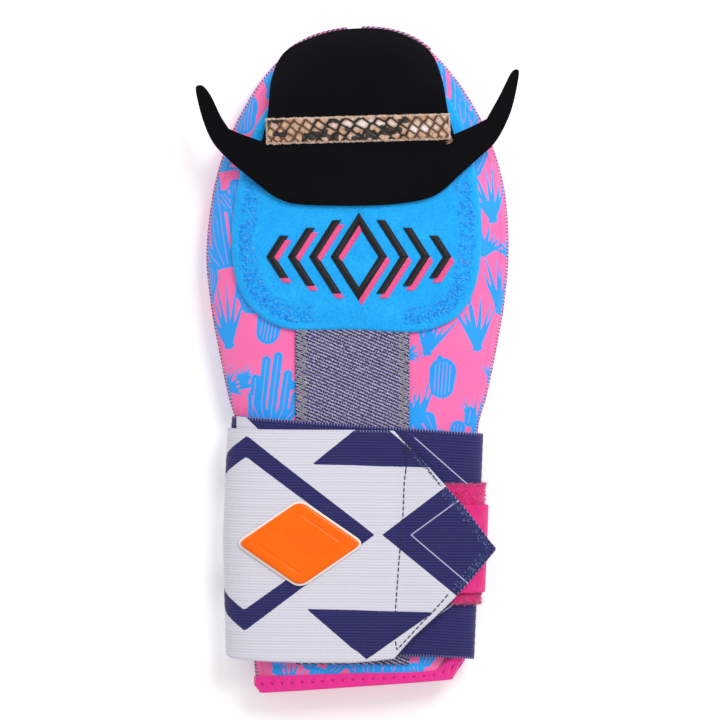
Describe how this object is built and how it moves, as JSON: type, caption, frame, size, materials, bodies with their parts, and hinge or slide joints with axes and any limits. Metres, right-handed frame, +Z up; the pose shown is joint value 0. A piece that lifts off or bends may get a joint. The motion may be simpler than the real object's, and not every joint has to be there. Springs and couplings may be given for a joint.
{
  "type": "baseball sliding mitt",
  "caption": "Padded hand-shaped neoprene mitt with a plush back patch, a cut-out hat, an elastic back strip and a wide wound wrist strap, open at the wrist.",
  "frame": {"origin": "below the middle of the whole mitt's box, on the surface that it lies on, palm down", "axes": "+Y towards the fingertips, +Z up out of the back of the hand, +X to the right when looked at from above"},
  "size_m": [0.142, 0.2928, 0.0296],
  "materials": {
    "neoprene": "printed knit face over neoprene, matte",
    "overlock": "polyester thread over a firm edge",
    "binding": "knitted edge tape, zigzag stitched",
    "heather_elastic": "twill woven elastic, two tone",
    "plush": "brushed loop fabric",
    "felt": "dense suede-like felt",
    "snakeskin": "embossed scales, satin",
    "printed_elastic": "ribbed woven elastic with a navy print",
    "loop_pile": "looped pile fastener",
    "hook_tape": "hook fastener tape, flat back",
    "badge_rubber": "glossy moulded, pale rim",
    "satin_thread": "satin stitched, dark figure on a pink shadow"
  },
  "bodies": {
    "root": {"back_panel": "neoprene", "palm_panel": "neoprene", "edge_overlock": "overlock", "wrist_binding": "binding", "elastic_strip": "heather_elastic", "plush_patch": "plush", "hat_cutout": "felt", "hat_band": "snakeskin", "wrist_strap": "printed_elastic", "loop_strip": "loop_pile", "hook_tab": "hook_tape", "strap_badge": "badge_rubber", "stitched_diamond": "satin_thread", "stitched_chevron_left_1": "satin_thread", "stitched_chevron_left_2": "satin_thread", "stitched_chevron_left_3": "satin_thread", "stitched_chevron_right_1": "satin_thread", "stitched_chevron_right_2": "satin_thread", "stitched_chevron_right_3": "satin_thread"}
  },
  "joints": []
}
